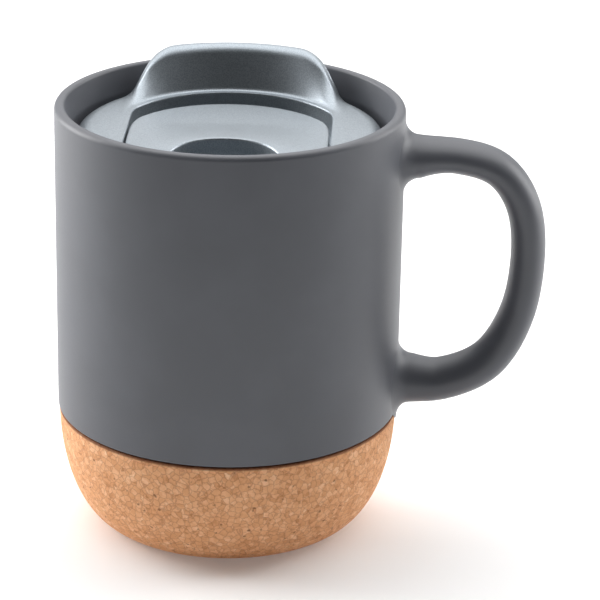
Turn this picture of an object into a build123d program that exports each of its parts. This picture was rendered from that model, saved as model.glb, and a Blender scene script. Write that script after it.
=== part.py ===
from build123d import *
import math
import os

# Stoneware travel mug: a ceramic cup and handle on a glued-in cork base, closed by a push-in
# lid with a raised drinking lip and a sliding shutter.
#
# Frame: millimetres, +Z up, origin on the cup's axis at the table. The handle points along +X,
# the drinking lip along +Y. The shutter is drawn open and closes by sliding along +Y.
#
# Every size is a named value. What seats on or passes through another piece takes its size
# from that piece and a named clearance.

# ---- cup ----
CUP_RADIUS = 42.0            # outside of the straight wall
CUP_HEIGHT = 106.2           # rim above the table
CUP_WALL = 3.8               # wall below the lip
LIP_WALL = 2.5               # wall at the rim, thinned from the inside
LIP_TAPER_HEIGHT = 6.5       # height over which the lip thins
LIP_TAPER_ROUND = 6.0
CUP_FLOOR = 4.2
FLOOR_ROUND = 14.0           # bowl-like inside corner
WAIST_TOP = 10.0             # above the shoulder, where the bore narrows towards that corner
SHOULDER_ROUND = 0.6         # outside edge of the step over the cork
SEAM_GAP = 0.3               # open line between ceramic shoulder and cork

# ---- cork base ----
CORK_HEIGHT = 29.4
CORK_INSET = 0.3             # cork's top edge, in from the cup's wall
CORK_WALL = 3.2              # at the top edge
CORK_FLOOR = 5.0
CORK_FLAT_INSET = 13.4       # flat underside, in from the cork's top edge
SOCKET_FLAT_INSET = 11.5     # the same for the socket inside the cork
CORK_EDGE = 0.5              # chamfer of the cork's top edge
GLUE_FILM = 0.2
GLUE_TOP_MARGIN = 3.0        # dry height left below the cork's top edge

# ---- handle ----
HANDLE_REACH = 30.6          # centreline's furthest point out from the wall
HANDLE_TOP_DROP = 11.8       # upper arm's centreline below the rim
HANDLE_BOTTOM_RISE = 7.3     # lower arm's centreline above the cork
HANDLE_HALF_WIDTH = 6.7      # across the handle's plane
UPPER_ARM_HALF_THICK = 4.0   # in the handle's plane
GRIP_HALF_THICK = 4.2
LOWER_ARM_HALF_THICK = 5.2
ROOT_SWELL = 1.5             # how much each root swells at the wall
ROOT_SWELL_LENGTH = 10.0
UPPER_ROOT_SAG = 1.6         # how far the upper root's swelling hangs down

# ---- lid ----
DECK_DROP = 5.5              # flat deck below the rim
LID_GAP = 1.7                # flange edge to bore
DECK_WALL = 1.7
SHOULDER_WIDTH = 3.6         # where the deck rounds down to the flange edge
SHOULDER_DROP = 1.8
FLANGE_EDGE_HEIGHT = 1.4
SKIRT_INSET = 2.3            # skirt's outside, in from the flange edge
SKIRT_WALL = 1.8
SKIRT_DEPTH = 10.0           # below the flange
BEAD_HEIGHT = 1.3            # retaining bead under the seal
BEAD_STAND_OUT = 0.7
VENT_RADIUS = 0.8

# ---- drinking lip of the lid ----
LIP_RISE = 10.3              # crest above the deck
RAMP_INSET = 9.0             # where the ramp's slope meets the deck, in from the flange edge
CREST_INSET = 3.5            # ramp side of the crest, in from the flange edge
FACE_INSET = 0.5             # outer face, in from the flange edge
RAMP_FOOT_ROUND = 1.2
CREST_ROUND = 3.4
FACE_ROUND = 0.6
LIP_TOP_ANGLE = 35.0         # half angle at full height, seen from the axis
LIP_FOOT_ANGLE = 48.9        # half angle at the deck
LIP_END_ROUND = 8.0
LIP_WALL_HOLLOW = 1.7

# ---- shutter pocket in the lid ----
POCKET_BACK_INSET = 10.2     # back wall, in from the flange edge
POCKET_FRONT_INSET = 6.8
POCKET_CORNER_ANGLE = 67.4   # direction of the back corners, from +Y
POCKET_CORNER_ROUND = 1.2
POCKET_DEPTH = 5.6
POCKET_WALL = 1.6
POCKET_FLOOR = 1.6
DRINK_HOLE_WIDTH = 5.4       # along Y
DRINK_HOLE_INSET = 3.1       # back edge, in from the pocket's back wall
DRINK_HOLE_ANGLE = 22.0      # half angle, seen from the axis

# ---- shutter ----
SHUTTER_GAP = 0.35           # beside and in front of the shutter, and behind it when closed
SHUTTER_TRAVEL = 8.5
SHUTTER_PLATE = 1.8
SHUTTER_SKIRT = 1.4
SHUTTER_FLUSH = 0.1          # top face below the deck
SHUTTER_FLOOR_GAP = 0.3      # skirt above the pocket floor
SHUTTER_EDGE_ROUND = 0.8
SHUTTER_CORNER_ROUND = 2.0
DISH_RADIUS = 13.1
DISH_DEPTH = 4.0
DISH_FLOOR = 1.2
DISH_LENGTH = 16.3           # from the shutter's front edge to the dish's back
DISH_WALL = 1.4
GRIP_RISE = 0.7              # swelling behind the dish
GRIP_LENGTH = 14.0
GRIP_HALF_WIDTH = 15.0

# ---- gasket, legs and retainer of the shutter ----
GASKET_THICK = 1.0
GASKET_FLOOR_GAP = 0.1
GASKET_OVERLAP = 1.6         # beyond each end of the drink hole
GASKET_LENGTH = 9.6
GASKET_INSET = 0.2           # back edge, in from the shutter's back edge
GASKET_POCKET_GAP = 0.15     # round the gasket in the shutter
PEG_RADIUS = 1.4
PEG_HEIGHT = 1.4
PEG_EDGE = 3.6               # peg's centre, in from the gasket's end
LEG_CLEAR = 2.0              # between gasket and leg
LEG_WIDTH = 3.0
LEG_LENGTH = 5.0
LEG_SETBACK = 10.0           # leg's centre, in front of the shutter's back edge
LEG_SLOT_GAP = 0.3
RETAINER_THICK = 1.4
RETAINER_GAP = 0.2           # below the pocket floor
RETAINER_MARGIN = 2.0        # plate around each leg
BARB_REACH = 0.5
BARB_HEIGHT = 0.9

# ---- seal ring ----
SEAL_CORE = 1.3
SEAL_FIT = 0.05              # round the skirt, and between lips and bore
SEAL_END_GAP = 0.2
SEAL_LIPS = 3
SEAL_LIP_ROOT = 1.1
SEAL_LIP_TIP = 0.5
SEAL_LIP_RAKE = 0.9          # tips stand this much above their roots

# ---- sizes worked out from those above ----
bore = CUP_RADIUS - CUP_WALL
shoulder_z = CORK_HEIGHT + SEAM_GAP
cork_radius = CUP_RADIUS - CORK_INSET
cork_flat = cork_radius - CORK_FLAT_INSET
socket_radius = cork_radius - CORK_WALL
socket_flat = socket_radius - SOCKET_FLAT_INSET
foot_radius = socket_radius - GLUE_FILM
foot_bore = foot_radius - CUP_WALL
foot_low_z = CORK_FLOOR + GLUE_FILM
cup_floor_z = foot_low_z + CUP_FLOOR

deck_z = CUP_HEIGHT - DECK_DROP
flange_radius = bore - LID_GAP
flange_top_z = deck_z - SHOULDER_DROP
flange_low_z = flange_top_z - FLANGE_EDGE_HEIGHT
skirt_radius = flange_radius - SKIRT_INSET
skirt_bore = skirt_radius - SKIRT_WALL
skirt_low_z = flange_low_z - SKIRT_DEPTH
bead_top_z = skirt_low_z + BEAD_HEIGHT

pocket_back = flange_radius - POCKET_BACK_INSET
pocket_front = flange_radius - POCKET_FRONT_INSET
pocket_half = pocket_back * math.sin(math.radians(POCKET_CORNER_ANGLE))
pocket_floor_z = deck_z - POCKET_DEPTH
pocket_under_z = pocket_floor_z - POCKET_FLOOR
drink_hole_back = pocket_back - DRINK_HOLE_INSET
drink_hole_half = drink_hole_back * math.sin(math.radians(DRINK_HOLE_ANGLE))

shutter_half = pocket_half - SHUTTER_GAP
shutter_front = pocket_front - SHUTTER_GAP
shutter_back_radius = pocket_back - SHUTTER_GAP
shutter_back_y = shutter_back_radius - SHUTTER_TRAVEL
shutter_top_z = deck_z - SHUTTER_FLUSH
shutter_low_z = pocket_floor_z + SHUTTER_FLOOR_GAP
plate_low_z = shutter_top_z - SHUTTER_PLATE
dish_y = DISH_LENGTH - DISH_RADIUS - shutter_front
dish_floor_z = shutter_top_z - DISH_DEPTH
gasket_low_z = pocket_floor_z + GASKET_FLOOR_GAP
gasket_top_z = gasket_low_z + GASKET_THICK
gasket_half = drink_hole_half + GASKET_OVERLAP
leg_x = gasket_half + LEG_CLEAR + LEG_WIDTH / 2
leg_y = shutter_back_y - LEG_SETBACK
retainer_top_z = pocket_under_z - RETAINER_GAP
retainer_low_z = retainer_top_z - RETAINER_THICK


def turned(outline):
    """A solid of revolution about Z from a closed outline in the XZ plane."""
    return revolve(make_face(outline), Axis.Z)


def slab(sketch, low_z, high_z):
    """A plan sketch extruded between two heights."""
    return extrude(Pos(0, 0, low_z) * sketch, high_z - low_z)


def flat_points(points):
    """(radius, height) pairs as points of the XZ plane."""
    return [(r, 0, z) for r, z in points]


def straight(*points):
    """Straight edges through (radius, height) pairs."""
    return Polyline(*flat_points(points))


def rounded(points, rounds):
    """Straight edges through (radius, height) pairs, each inner corner rounded in turn."""
    return FilletPolyline(*flat_points(points), radius=rounds)


def bowl_curve(flat, radius, low_z, high_z):
    """A quarter ellipse from a flat floor at low_z up to a wall at high_z."""
    plane = Plane(origin=(flat, 0, high_z), x_dir=(1, 0, 0), z_dir=(0, -1, 0))
    return plane * EllipticalCenterArc((0, 0), radius - flat, high_z - low_z,
                                        start_angle=-90, arc_size=90)


# ---------------------------------------------------------------- cup and base

def make_cup():
    """The ceramic cup: straight wall, thinned lip, and a stepped foot that fits the cork."""
    lip_start = CUP_HEIGHT - LIP_TAPER_HEIGHT
    waist_z = shoulder_z + WAIST_TOP
    wall = rounded(
        [(foot_radius, CORK_HEIGHT), (foot_radius, shoulder_z), (CUP_RADIUS, shoulder_z),
         (CUP_RADIUS, CUP_HEIGHT), (CUP_RADIUS - LIP_WALL, CUP_HEIGHT), (bore, lip_start),
         (bore, waist_z)],
        [SEAM_GAP / 2, SHOULDER_ROUND, 0.54 * LIP_WALL, 0.34 * LIP_WALL, LIP_TAPER_ROUND],
    )
    corner_z = cup_floor_z + FLOOR_ROUND
    corner_r = foot_bore - FLOOR_ROUND
    waist = Spline((bore, 0, waist_z), (foot_bore, 0, corner_z),
                   tangents=[(0, 0, -1), (0, 0, -1)])
    floor = TangentArc((foot_bore, 0, corner_z), (corner_r, 0, cup_floor_z),
                       tangent=(0, 0, -1)) + straight((corner_r, cup_floor_z),
                                                      (0, cup_floor_z))
    outside = bowl_curve(socket_flat, foot_radius, foot_low_z, CORK_HEIGHT)
    underside = straight((0, cup_floor_z), (0, foot_low_z), (socket_flat, foot_low_z))
    return turned(underside + outside + wall + waist + floor)


def make_cork():
    """The cork base: a turned bowl with a flat underside and a socket for the cup's foot."""
    chamfer_ring = turned(straight(
        (cork_radius + 1, CORK_HEIGHT + 1), (cork_radius - CORK_EDGE - 1, CORK_HEIGHT + 1),
        (cork_radius - CORK_EDGE, CORK_HEIGHT), (cork_radius + 1, CORK_HEIGHT - CORK_EDGE - 1),
        (cork_radius + 1, CORK_HEIGHT + 1),
    ))
    bowl = turned(
        straight((0, CORK_FLOOR), (0, 0), (cork_flat, 0))
        + bowl_curve(cork_flat, cork_radius, 0, CORK_HEIGHT)
        + straight((cork_radius, CORK_HEIGHT), (socket_radius, CORK_HEIGHT))
        + bowl_curve(socket_flat, socket_radius, CORK_FLOOR, CORK_HEIGHT)
        + straight((socket_flat, CORK_FLOOR), (0, CORK_FLOOR))
    )
    return bowl - chamfer_ring


def make_glue():
    """The cured adhesive film between the ceramic foot and the cork socket."""
    film = turned(
        straight((0, foot_low_z), (0, CORK_FLOOR), (socket_flat, CORK_FLOOR))
        + bowl_curve(socket_flat, socket_radius, CORK_FLOOR, CORK_HEIGHT)
        + straight((socket_radius, CORK_HEIGHT), (foot_radius, CORK_HEIGHT))
        + bowl_curve(socket_flat, foot_radius, foot_low_z, CORK_HEIGHT)
        + straight((socket_flat, foot_low_z), (0, foot_low_z))
    )
    dry = slab(Circle(CUP_RADIUS), CORK_HEIGHT - GLUE_TOP_MARGIN, CORK_HEIGHT + 1)
    return film - dry


def handle_centreline():
    """The handle's centreline, from inside the upper wall round to inside the lower wall."""
    top = CUP_HEIGHT - HANDLE_TOP_DROP
    low = CORK_HEIGHT + HANDLE_BOTTOM_RISE
    span = top - low
    start = CUP_RADIUS - CUP_WALL / 2
    bends = [(0.42, 1.0), (0.745, 0.944), (0.945, 0.79), (1.0, 0.57), (0.935, 0.31),
             (0.72, 0.098), (0.36, 0.0)]
    points = [(CUP_RADIUS + out * HANDLE_REACH, 0, low + up * span) for out, up in bends]
    return Spline((start, 0, top), *points, (start, 0, low), tangents=[(1, 0, 0), (-1, 0, 0)])


def make_handle():
    """The strap handle: an oval section that swells where it is luted onto the wall."""
    path = handle_centreline()
    shares = [0, 0.035, 0.07, 0.11, 0.17, 0.25, 0.35, 0.45, 0.55, 0.65, 0.75, 0.84, 0.9, 0.94,
              0.97, 1]
    sections = []
    for share in shares:
        centre = path.position_at(share)
        near_wall = 1 - (centre.X - CUP_RADIUS) / ROOT_SWELL_LENGTH
        swell = ROOT_SWELL * min(1.0, max(0.0, near_wall)) ** 2
        arm_thick = UPPER_ARM_HALF_THICK if share < 0.5 else LOWER_ARM_HALF_THICK
        arm_share = abs(2 * share - 1)
        thick = GRIP_HALF_THICK + arm_share * (arm_thick - GRIP_HALF_THICK) + swell
        sag = UPPER_ROOT_SAG * swell / ROOT_SWELL if share < 0.5 else 0.0
        plane = Plane(origin=centre - Vector(0, 0, sag), x_dir=(0, 1, 0),
                      z_dir=path.tangent_at(share))
        sections.append(plane * Ellipse(HANDLE_HALF_WIDTH + swell, thick))
    return loft(sections) - slab(Circle(CUP_RADIUS), 0, CUP_HEIGHT)


# ---------------------------------------------------------------- lid

def pocket_plan(grow=0.0):
    """The shutter pocket seen from above, grown outwards by grow."""
    half = pocket_half + grow
    back = Pos(0, pocket_back) * Rectangle(2 * half, 2 * pocket_back) & Circle(pocket_back + grow)
    front = (Pos(0, -pocket_front) * Rectangle(2 * half, 2 * pocket_front)
             & Circle(pocket_front + grow))
    plan = back + front
    return fillet(plan.vertices(), POCKET_CORNER_ROUND + grow)


def ring_plan(inner, outer, half_angle):
    """Part of a ring seen from above, spread either side of +Y."""
    reach = 2 * outer
    spread = reach * math.tan(math.radians(half_angle))
    wedge = make_face(Polyline((0, 0), (spread, reach), (-spread, reach), (0, 0)))
    return (Circle(outer) - Circle(inner)) & wedge


def lip_end_outline(inset, low_z, high_z, rounds):
    """The drinking lip seen along Y: full height in the middle, sloping down at both ends."""
    crest = flange_radius - (CREST_INSET + FACE_INSET) / 2
    top_half = crest * math.sin(math.radians(LIP_TOP_ANGLE))
    foot_half = crest * math.sin(math.radians(LIP_FOOT_ANGLE))
    slope = (foot_half - top_half) / LIP_RISE
    side = inset * math.hypot(1, slope)
    low_half = foot_half - slope * (low_z - deck_z) - side
    high_half = foot_half - slope * (high_z - deck_z) - side
    line = rounded([(low_half, low_z), (high_half, high_z), (-high_half, high_z),
                    (-low_half, low_z)], rounds)
    face = make_face(line + straight((-low_half, low_z), (low_half, low_z)))
    return extrude(face, amount=CUP_RADIUS, dir=(0, 1, 0))


def make_lip():
    """The drinking lip as a full ring, cut to its sloping ends."""
    crest_z = deck_z + LIP_RISE
    base_z = deck_z - DECK_WALL / 2
    crest_r = flange_radius - CREST_INSET
    face_r = flange_radius - FACE_INSET
    ramp = rounded(
        [(pocket_back - 1, deck_z), (flange_radius - RAMP_INSET, deck_z), (crest_r, crest_z),
         (face_r, crest_z), (face_r, base_z)],
        [RAMP_FOOT_ROUND, CREST_ROUND, FACE_ROUND],
    )
    ring = turned(ramp + straight((face_r, base_z), (pocket_back - 1, base_z),
                                  (pocket_back - 1, deck_z)))
    return ring & lip_end_outline(0, base_z, crest_z, [LIP_END_ROUND, LIP_END_ROUND])


def make_lip_hollow():
    """The space under the ramp, open to the lid's underside."""
    slope = (RAMP_INSET - CREST_INSET) / LIP_RISE
    low_z = deck_z - DECK_WALL
    outer = flange_radius - FACE_INSET - LIP_WALL_HOLLOW
    inner = flange_radius - RAMP_INSET + LIP_WALL_HOLLOW * math.hypot(1, slope)
    inner = inner + slope * (low_z - deck_z)
    peak_z = low_z + (outer - inner) / slope
    ring = turned(straight((inner, low_z), (outer, peak_z), (outer, low_z), (inner, low_z)))
    return ring & lip_end_outline(LIP_WALL_HOLLOW, low_z, peak_z, [0, 0])


def lid_shell():
    """Deck, flange, skirt and bead."""
    shoulder_r = flange_radius - SHOULDER_WIDTH
    bead_r = skirt_radius + BEAD_STAND_OUT
    under_z = deck_z - DECK_WALL
    return turned(
        straight((0, under_z), (0, deck_z), (shoulder_r, deck_z))
        + TangentArc((shoulder_r, 0, deck_z), (flange_radius, 0, flange_top_z),
                     tangent=(1, 0, 0))
        + straight((flange_radius, flange_top_z), (flange_radius, flange_low_z),
                   (skirt_radius, flange_low_z), (skirt_radius, bead_top_z),
                   (bead_r, bead_top_z), (bead_r, skirt_low_z + BEAD_HEIGHT / 2),
                   (skirt_radius, skirt_low_z), (skirt_bore, skirt_low_z),
                   (skirt_bore, under_z), (0, under_z))
    )


def make_lid():
    """The lid: one moulding with the drinking lip, the shutter pocket and its openings."""
    pocket_shell = slab(pocket_plan(POCKET_WALL), pocket_under_z, deck_z - DECK_WALL / 2)
    pocket = slab(pocket_plan(), pocket_floor_z, deck_z + LIP_RISE)
    drink_hole = slab(
        ring_plan(drink_hole_back - DRINK_HOLE_WIDTH, drink_hole_back, DRINK_HOLE_ANGLE),
        pocket_under_z - 1, pocket_floor_z + 1,
    )
    slot_length = LEG_LENGTH + SHUTTER_TRAVEL + 2 * LEG_SLOT_GAP
    slot = Rectangle(LEG_WIDTH + 2 * LEG_SLOT_GAP, slot_length)
    slots = Pos(leg_x, leg_y + SHUTTER_TRAVEL / 2) * slot
    slots += Pos(-leg_x, leg_y + SHUTTER_TRAVEL / 2) * slot
    vent = Pos(0, dish_y) * Circle(VENT_RADIUS)
    openings = slab(slots + vent, pocket_under_z - 1, pocket_floor_z + 1)
    shell = lid_shell() + make_lip() - make_lip_hollow()
    return shell + pocket_shell - pocket - drink_hole - openings


def make_seal():
    """The silicone ring round the skirt, with raked lips that meet the bore."""
    inner = skirt_radius + SEAL_FIT
    outer = inner + SEAL_CORE
    tip = bore - SEAL_FIT
    low_z = bead_top_z + SEAL_END_GAP
    high_z = flange_low_z - SEAL_END_GAP
    pitch = (high_z - low_z) / SEAL_LIPS
    ring = turned(straight((inner, low_z), (outer, low_z), (outer, high_z), (inner, high_z),
                           (inner, low_z)))
    for index in range(SEAL_LIPS):
        root_z = low_z + (index + 0.5) * pitch - SEAL_LIP_RAKE / 2
        tip_z = root_z + SEAL_LIP_RAKE
        ring += turned(straight(
            (outer - SEAL_CORE / 2, root_z - SEAL_LIP_ROOT / 2), (tip, tip_z - SEAL_LIP_TIP / 2),
            (tip, tip_z + SEAL_LIP_TIP / 2), (outer - SEAL_CORE / 2, root_z + SEAL_LIP_ROOT / 2),
            (outer - SEAL_CORE / 2, root_z - SEAL_LIP_ROOT / 2),
        ))
    return ring


# ---------------------------------------------------------------- shutter

def shutter_plan(inset=0.0):
    """The shutter seen from above, drawn in by inset, with rounded corners."""
    back_centre = shutter_back_y - shutter_back_radius
    plan = Rectangle(2 * (shutter_half - inset), 4 * shutter_front)
    plan = plan & Circle(shutter_front - inset)
    plan = plan & Pos(0, back_centre) * Circle(shutter_back_radius - inset)
    return fillet(plan.vertices(), SHUTTER_CORNER_ROUND - inset)


def gasket_plan(grow=0.0):
    """The gasket seen from above: a pad whose back follows the shutter's back edge."""
    back_centre = shutter_back_y - shutter_back_radius
    back = shutter_back_y - GASKET_INSET + grow
    front = shutter_back_y - GASKET_INSET - GASKET_LENGTH - grow
    pad = Pos(0, (back + front) / 2) * Rectangle(2 * (gasket_half + grow), back - front)
    return pad & Pos(0, back_centre) * Circle(shutter_back_radius - GASKET_INSET + grow)


def peg_plan(radius):
    """The gasket's two pegs, or their holes."""
    peg_y = shutter_back_y - GASKET_INSET - GASKET_LENGTH / 2
    peg_x = gasket_half - PEG_EDGE
    return Pos(peg_x, peg_y) * Circle(radius) + Pos(-peg_x, peg_y) * Circle(radius)


def leg_plan(reach=0.0):
    """The shutter's two legs, grown by reach along X."""
    leg = Rectangle(LEG_WIDTH + 2 * reach, LEG_LENGTH)
    return Pos(leg_x, leg_y) * leg + Pos(-leg_x, leg_y) * leg


def make_shutter():
    """The shutter: a skirted plate with a thumb dish, and legs down through the floor."""
    dish = Pos(0, dish_y) * Circle(DISH_RADIUS) & shutter_plan(SHUTTER_SKIRT)
    dish_shell = Pos(0, dish_y) * Circle(DISH_RADIUS + DISH_WALL) & shutter_plan()
    plate = slab(shutter_plan(), plate_low_z, shutter_top_z)
    top_edges = plate.faces().sort_by(Axis.Z)[-1].edges()
    plate = fillet(top_edges, SHUTTER_EDGE_ROUND)
    skirt = slab(shutter_plan() - shutter_plan(SHUTTER_SKIRT), shutter_low_z, plate_low_z)
    boss = slab(gasket_plan(), gasket_top_z, plate_low_z)
    dish_bowl = slab(dish_shell, dish_floor_z - DISH_FLOOR, plate_low_z)
    legs = slab(leg_plan(), retainer_low_z, plate_low_z)
    barbs = slab(leg_plan(reach=BARB_REACH), retainer_low_z - BARB_HEIGHT, retainer_low_z)
    gasket_room = slab(gasket_plan(GASKET_POCKET_GAP), shutter_low_z - 1, gasket_top_z)
    peg_holes = slab(peg_plan(PEG_RADIUS), gasket_top_z - 1, gasket_top_z + PEG_HEIGHT)
    body = plate + skirt + dish_bowl - gasket_room + boss + legs + barbs + make_grip()
    return body - slab(dish, dish_floor_z, shutter_top_z + 2 * GRIP_RISE) - peg_holes


def make_grip():
    """The low swelling behind the thumb dish, rising towards it."""
    dish_back = dish_y + DISH_RADIUS
    back = dish_back + GRIP_LENGTH
    profile = make_face(Polyline(
        (0, back, shutter_top_z), (0, dish_y, shutter_top_z),
        (0, dish_y, shutter_top_z + GRIP_RISE), (0, dish_back, shutter_top_z + GRIP_RISE),
        (0, back, shutter_top_z),
    ))
    ridge = extrude(profile, amount=GRIP_HALF_WIDTH, dir=(1, 0, 0), both=True)
    plan = Pos(0, dish_back) * Ellipse(GRIP_HALF_WIDTH, GRIP_LENGTH)
    return ridge & slab(plan, shutter_top_z, shutter_top_z + GRIP_RISE)


def make_gasket():
    """The silicone pad that covers the drink hole, with two pegs up into the shutter."""
    pad = slab(gasket_plan(), gasket_low_z, gasket_top_z)
    return pad + slab(peg_plan(PEG_RADIUS), gasket_top_z, gasket_top_z + PEG_HEIGHT)


def make_retainer():
    """The plate clipped to the legs under the pocket floor."""
    width = 2 * (leg_x + LEG_WIDTH / 2 + RETAINER_MARGIN)
    plan = Pos(0, leg_y) * Rectangle(width, LEG_LENGTH + 2 * RETAINER_MARGIN)
    plan = fillet(plan.vertices(), RETAINER_MARGIN)
    return slab(plan - leg_plan(), retainer_low_z, retainer_top_z)


pieces = {
    "mug_body": make_cup(),
    "mug_handle": make_handle(),
    "cork_base": make_cork(),
    "base_adhesive": make_glue(),
    "lid_body": make_lid(),
    "lid_seal": make_seal(),
    "lid_shutter": make_shutter(),
    "shutter_gasket": make_gasket(),
    "shutter_retainer": make_retainer(),
}

os.makedirs("parts", exist_ok=True)
for name, piece in pieces.items():
    export_step(piece, f"parts/{name}.step")
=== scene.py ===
"""A lidded ceramic mug on a cork base: its visible pieces, finishes, light and camera.

Metres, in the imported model's own frame: +Z up, origin on the mug's axis at the table, handle
towards +X and drinking lip towards +Y. Sizes in the classes are millimetres.
"""
import logging
import math
from dataclasses import dataclass, field
from enum import Enum
from typing import Callable, Iterable, Sequence

import bmesh
import bpy
from mathutils import Matrix, Vector


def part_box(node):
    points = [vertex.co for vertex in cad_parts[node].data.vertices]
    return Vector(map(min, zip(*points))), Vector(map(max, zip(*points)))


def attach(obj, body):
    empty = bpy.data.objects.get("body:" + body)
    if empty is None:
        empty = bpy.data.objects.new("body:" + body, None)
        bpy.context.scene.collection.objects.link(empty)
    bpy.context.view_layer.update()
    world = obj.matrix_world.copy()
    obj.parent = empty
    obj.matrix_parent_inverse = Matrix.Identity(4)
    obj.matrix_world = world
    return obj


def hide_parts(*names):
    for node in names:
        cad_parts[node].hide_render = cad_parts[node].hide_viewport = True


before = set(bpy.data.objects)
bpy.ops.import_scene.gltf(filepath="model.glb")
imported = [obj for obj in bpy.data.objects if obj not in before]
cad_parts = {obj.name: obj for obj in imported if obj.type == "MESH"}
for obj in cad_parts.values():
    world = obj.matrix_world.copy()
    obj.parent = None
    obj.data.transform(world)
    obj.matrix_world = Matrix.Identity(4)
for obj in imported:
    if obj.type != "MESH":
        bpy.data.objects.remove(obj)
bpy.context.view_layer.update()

MM = 0.001
TURN = 2.0 * math.pi
LOG = logging.getLogger("mug")

Profile = list[tuple[float, float]]
Place = Callable[[float], tuple[float, float, float]]


# ------------------------------------------------------------------ small helpers

def mix(low: float, high: float, share: float) -> float:
    """Linear blend of two numbers."""
    return low + (high - low) * share


def limit(value: float, low: float = 0.0, high: float = 1.0) -> float:
    """The value held between two limits."""
    return max(low, min(high, value))


def ease(share: float) -> float:
    """Cosine ease from 0 to 1 over a share of 0 to 1, flat at both ends."""
    return 0.5 - 0.5 * math.cos(math.pi * limit(share))


def spread(count: int) -> list[float]:
    """Evenly spaced shares from 0 to 1, both ends included."""
    return [index / (count - 1) for index in range(count)]


def rounded(corners: Sequence[tuple[float, float, float]], steps: int = 6) -> Profile:
    """A polyline whose corners are replaced by arcs.

    Args:
        corners: (radius from the axis, height, corner radius) of each point.
        steps: segments in each arc.

    Returns:
        The points of the rounded line.
    """
    line: Profile = []
    for index, (x, z, radius) in enumerate(corners):
        if radius == 0.0 or index in (0, len(corners) - 1):
            line.append((x, z))
            continue
        here = Vector((x, z))
        before = (Vector(corners[index - 1][:2]) - here).normalized()
        after = (Vector(corners[index + 1][:2]) - here).normalized()
        half = before.angle(after) / 2.0
        centre = here + (before + after).normalized() * (radius / math.sin(half))
        start = here + before * (radius / math.tan(half)) - centre
        end = here + after * (radius / math.tan(half)) - centre
        for share in spread(steps + 1):
            point = centre + start.normalized().slerp(end.normalized(), share) * radius
            line.append((point.x, point.y))
    return line


def even(line: Profile, count: int) -> Profile:
    """The same line as a number of points at equal distances along it."""
    steps = [math.dist(a, b) for a, b in zip(line, line[1:])]
    spots: Profile = []
    for share in spread(count):
        left, index = share * sum(steps), 0
        while index < len(steps) - 1 and left > steps[index]:
            left -= steps[index]
            index += 1
        part = limit(left / steps[index]) if steps[index] else 0.0
        (x0, z0), (x1, z1) = line[index], line[index + 1]
        spots.append((mix(x0, x1, part), mix(z0, z1, part)))
    return spots


def radius_inside(shape: Callable[[float, float], float], centre_y: float,
                  angle: float) -> float:
    """Distance from a point on the Y axis to a shape's edge, by halving.

    Args:
        shape: negative inside, positive outside, from x and y.
        centre_y: y of the point the ray leaves from.
        angle: direction of the ray, from +X towards +Y.

    Returns:
        The distance along the ray.
    """
    low, high = 0.0, 80.0
    for _ in range(40):
        middle = (low + high) / 2.0
        x, y = middle * math.cos(angle), centre_y + middle * math.sin(angle)
        low, high = (middle, high) if shape(x, y) < 0.0 else (low, middle)
    return low


def rounded_cut(distances: Iterable[float], corner: float) -> float:
    """Signed distance to the overlap of several shapes, with its corners rounded."""
    grown = [distance + corner for distance in distances]
    outside = math.sqrt(sum(max(value, 0.0) ** 2 for value in grown))
    return outside + min(max(grown), 0.0) - corner


# ------------------------------------------------------------------ mesh work

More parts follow.
